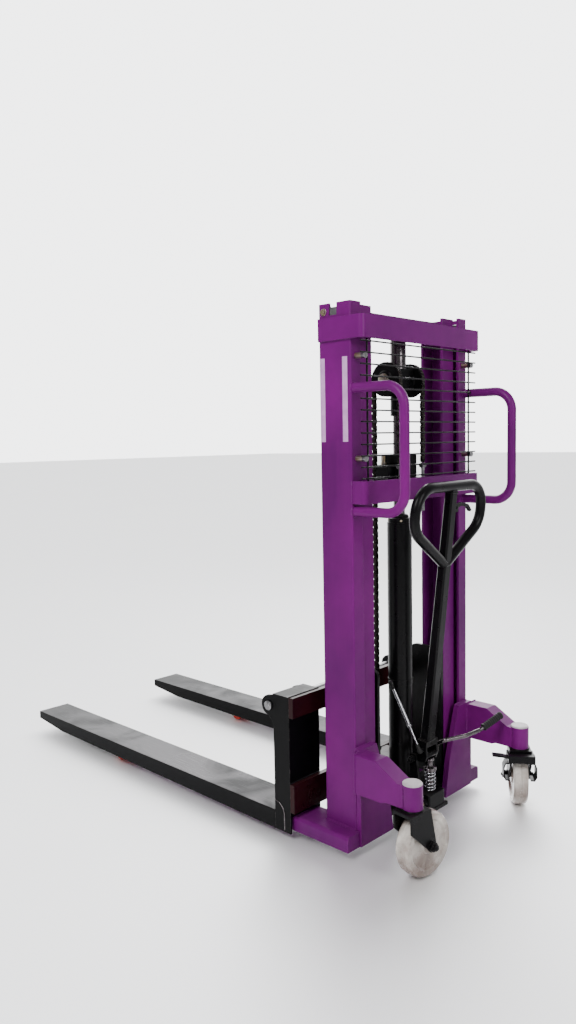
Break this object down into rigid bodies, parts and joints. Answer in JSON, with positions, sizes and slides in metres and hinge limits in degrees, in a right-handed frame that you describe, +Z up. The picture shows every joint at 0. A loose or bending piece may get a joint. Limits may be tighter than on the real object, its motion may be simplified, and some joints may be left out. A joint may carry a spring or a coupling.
{
  "type": "walkie stacker",
  "caption": "Hand-pushed hydraulic pallet stacker with a telescoping mast, chain-lifted forks over base legs, a pump tiller and swivel casters.",
  "frame": {"origin": "on the floor under the middle of the machine's footprint", "axes": "+Z up, -Y the way the forks point, +X the machine's left as the operator sees it walking behind the mast"},
  "size_m": [0.8564, 2.1078, 1.725],
  "materials": {
    "purple_paint": "gloss enamel",
    "black_paint": "gloss enamel",
    "fork_black": "high gloss enamel",
    "zinc": "zinc plated",
    "chrome": "polished",
    "chain_steel": "oiled leaf chain",
    "roller_steel": "ground",
    "bronze": "cast bronze",
    "nylon": "moulded nylon",
    "slide_plastic": "machined",
    "cap_plastic": "moulded",
    "red_roller": "cast polyurethane",
    "grip_rubber": "moulded rubber"
  },
  "bodies": {
    "frame": {"outer_channel_left": "purple_paint", "outer_channel_right": "purple_paint", "base_leg_left": "purple_paint", "base_leg_right": "purple_paint", "outrigger_left": "purple_paint", "outrigger_right": "purple_paint", "grab_handle_left": "purple_paint", "grab_handle_right": "purple_paint", "base_rear_plates": "purple_paint", "side_pads": "bronze", "caster_caps": "cap_plastic", "top_beam": "purple_paint", "mid_bar": "purple_paint", "rod_guide": "black_paint", "base_plate": "black_paint", "mesh_guard": "black_paint", "frame_bolts": "zinc", "load_axles": "zinc", "cylinder_barrel": "black_paint", "cylinder_gland": "zinc", "rear_chain_anchors": "zinc", "pump_body": "black_paint", "pivot_bolt": "zinc", "pump_spring": "chrome"},
    "load_rollers": {"load_wheels": "red_roller"},
    "inner_mast": {"inner_channel_left": "purple_paint", "inner_channel_right": "purple_paint", "inner_top_beam": "purple_paint", "mast_shoes": "slide_plastic", "lift_rods": "chrome", "crosshead": "black_paint", "pulley_axle": "zinc", "chains_over": "chain_steel", "chains_front": "chain_steel"},
    "chain_pulleys": {"pulleys": "black_paint"},
    "carriage": {"fork_blade_left": "fork_black", "fork_blade_right": "fork_black", "fork_shank_left": "fork_black", "fork_shank_right": "fork_black", "fork_shaft": "zinc", "carriage_plates": "black_paint", "carriage_side_left": "black_paint", "carriage_side_right": "black_paint", "front_chain_anchors": "zinc"},
    "lower_rollers": {"rollers_low": "roller_steel"},
    "upper_rollers": {"rollers_high": "roller_steel"},
    "tiller": {"tiller_yoke": "black_paint", "tiller_shaft": "black_paint", "tiller_loop": "black_paint"},
    "lowering_lever": {"release_lever": "black_paint"},
    "plunger": {"pump_plunger": "chrome"},
    "strut_tube": {"strut_upper": "chrome"},
    "strut_rod": {"strut_lower": "chrome"},
    "pedal": {"foot_pedal": "chrome", "pedal_grip": "grip_rubber"},
    "caster_left": {"caster_fork_left": "black_paint"},
    "wheel_left": {"caster_wheel_left": "nylon"},
    "caster_right": {"caster_fork_right": "black_paint"},
    "wheel_right": {"caster_wheel_right": "nylon"},
    "brake": {"caster_brake": "black_paint"}
  },
  "joints": [
    {"name": "mast_lift", "type": "slide", "parent": "frame", "child": "inner_mast", "axis": [0, 0, 1], "range_m": [0, 0.756]},
    {"name": "carriage_lift", "type": "slide", "parent": "inner_mast", "child": "carriage", "axis": [0, 0, 1], "range_m": [0, 0.756], "deforming": ["chains_front"]},
    {"name": "pulley_spin", "type": "hinge", "parent": "inner_mast", "child": "chain_pulleys", "pos_m": [0.021, 0.7015, 1.503], "axis": [-1, 0, 0], "range_deg": [0, 835]},
    {"name": "lower_roller_spin", "type": "hinge", "parent": "carriage", "child": "lower_rollers", "pos_m": [0.021, 0.6995, 0.165], "axis": [1, 0, 0], "continuous": true},
    {"name": "upper_roller_spin", "type": "hinge", "parent": "carriage", "child": "upper_rollers", "pos_m": [0.021, 0.6995, 0.5], "axis": [1, 0, 0], "continuous": true},
    {"name": "load_roller_spin", "type": "hinge", "parent": "frame", "child": "load_rollers", "pos_m": [0.021, -0.4685, 0.035], "axis": [1, 0, 0], "continuous": true},
    {"name": "caster_left_swivel", "type": "hinge", "parent": "frame", "child": "caster_left", "pos_m": [0.3437, 0.9781, 0.25], "axis": [0, 0, 1], "continuous": true},
    {"name": "caster_left_roll", "type": "hinge", "parent": "caster_left", "child": "wheel_left", "pos_m": [0.29895, 0.9828, 0.1], "axis": [-0.1045, -0.9945, 0], "continuous": true},
    {"name": "caster_right_swivel", "type": "hinge", "parent": "frame", "child": "caster_right", "pos_m": [-0.3017, 0.9781, 0.25], "axis": [0, 0, 1], "continuous": true},
    {"name": "caster_right_roll", "type": "hinge", "parent": "caster_right", "child": "wheel_right", "pos_m": [-0.33811, 0.95165, 0.1], "axis": [0.5878, -0.809, 0], "continuous": true},
    {"name": "brake_press", "type": "hinge", "parent": "caster_right", "child": "brake", "pos_m": [-0.3017, 0.9781, 0.195], "axis": [-0.5878, 0.809, 0], "range_deg": [0, 12]},
    {"name": "tiller_swing", "type": "hinge", "parent": "frame", "child": "tiller", "pos_m": [0.021, 0.7875, 0.24], "axis": [-1, 0, 0], "range_deg": [0, 55], "stiffness_Nm_per_rad": 60, "springref_deg": -22.92},
    {"name": "plunger_stroke", "type": "slide", "parent": "frame", "child": "plunger", "axis": [0, 0, -1], "range_m": [0, 0.03], "deforming": ["pump_spring"]},
    {"name": "strut_swing", "type": "hinge", "parent": "frame", "child": "strut_tube", "pos_m": [0.071, 0.698, 0.4806], "axis": [-1, 0, 0], "range_deg": [0, 1.5]},
    {"name": "strut_slide", "type": "slide", "parent": "strut_tube", "child": "strut_rod", "axis": [0, 0.4889, -0.8723], "range_m": [0, 0.04]},
    {"name": "lowering_lever_squeeze", "type": "hinge", "parent": "tiller", "child": "lowering_lever", "pos_m": [-0.006, 0.90134, 1.08454], "axis": [0, 0.9936, -0.1132], "range_deg": [0, 15], "stiffness_Nm_per_rad": 2, "springref_deg": -8.59},
    {"name": "pedal_press", "type": "hinge", "parent": "frame", "child": "pedal", "pos_m": [0.021, 0.7875, 0.24], "axis": [-1, 0, 0], "range_deg": [0, 18], "stiffness_Nm_per_rad": 12, "springref_deg": -8.59}
  ],
  "couplings": [
    {"joint": "carriage_lift", "follows": "mast_lift", "ratio": 1},
    {"joint": "pulley_spin", "follows": "mast_lift", "rad_per_m": 19.231},
    {"joint": "plunger_stroke", "follows": "tiller_swing", "m_per_rad": 0.03125},
    {"joint": "strut_swing", "follows": "tiller_swing", "ratio": 0.0218},
    {"joint": "strut_slide", "follows": "tiller_swing", "m_per_rad": 0.0396}
  ]
}
